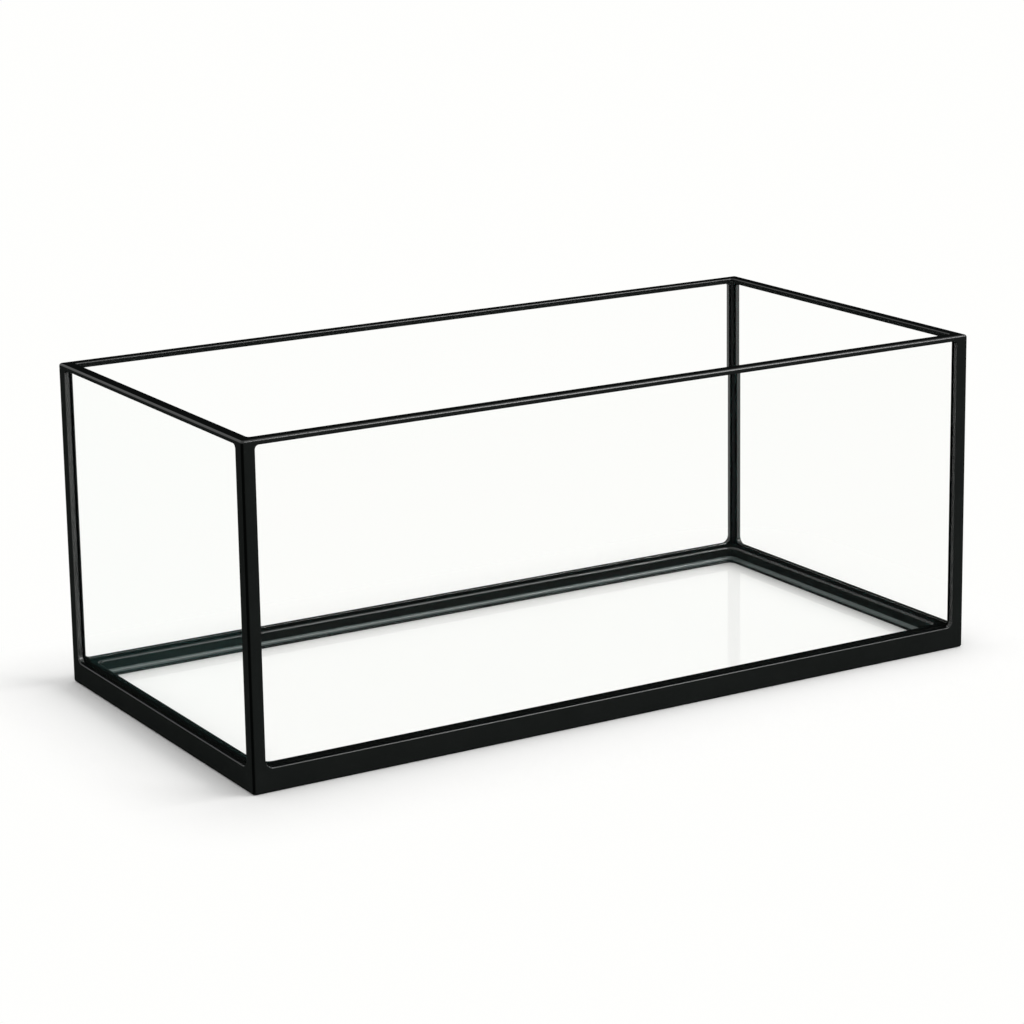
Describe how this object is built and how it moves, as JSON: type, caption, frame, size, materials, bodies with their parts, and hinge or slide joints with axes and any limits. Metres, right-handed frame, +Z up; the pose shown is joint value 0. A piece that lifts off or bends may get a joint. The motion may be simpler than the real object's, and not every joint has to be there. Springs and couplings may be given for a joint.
{
  "type": "aquarium",
  "caption": "Glass aquarium, open at the top: glass walls and floor in a slim black metal frame of mitred rails and corner posts, sealed with black corner beads and a grey floor bead.",
  "frame": {"origin": "centre of the footprint, on the ground", "axes": "+X along the long front, +Y from front to back, +Z up"},
  "size_m": [0.6, 0.3, 0.242],
  "materials": {
    "frame": "satin black powder coat",
    "keys": "mill finish",
    "glass": "clear float glass with seamed edges",
    "beds": "soft matt black foam strip",
    "sealant": "cured black silicone, slightly glossy",
    "floor_sealant": "cured smoke-grey silicone, slightly glossy"
  },
  "bodies": {
    "root": {"base_rail_front": "frame", "base_rail_back": "frame", "base_rail_left": "frame", "base_rail_right": "frame", "rim_rail_front": "frame", "rim_rail_back": "frame", "rim_rail_left": "frame", "rim_rail_right": "frame", "corner_post_front_left": "frame", "corner_post_front_right": "frame", "corner_post_back_left": "frame", "corner_post_back_right": "frame", "corner_key_front_left": "keys", "corner_key_front_right": "keys", "corner_key_back_left": "keys", "corner_key_back_right": "keys", "front_pane": "glass", "back_pane": "glass", "left_pane": "glass", "right_pane": "glass", "floor_pane": "glass", "front_pane_bed": "beds", "back_pane_bed": "beds", "left_pane_bed": "beds", "right_pane_bed": "beds", "floor_bed_front": "beds", "floor_bed_back": "beds", "floor_bed_left": "beds", "floor_bed_right": "beds", "corner_bead_front_left": "sealant", "corner_bead_front_right": "sealant", "corner_bead_back_left": "sealant", "corner_bead_back_right": "sealant", "floor_bead": "floor_sealant"}
  },
  "joints": []
}
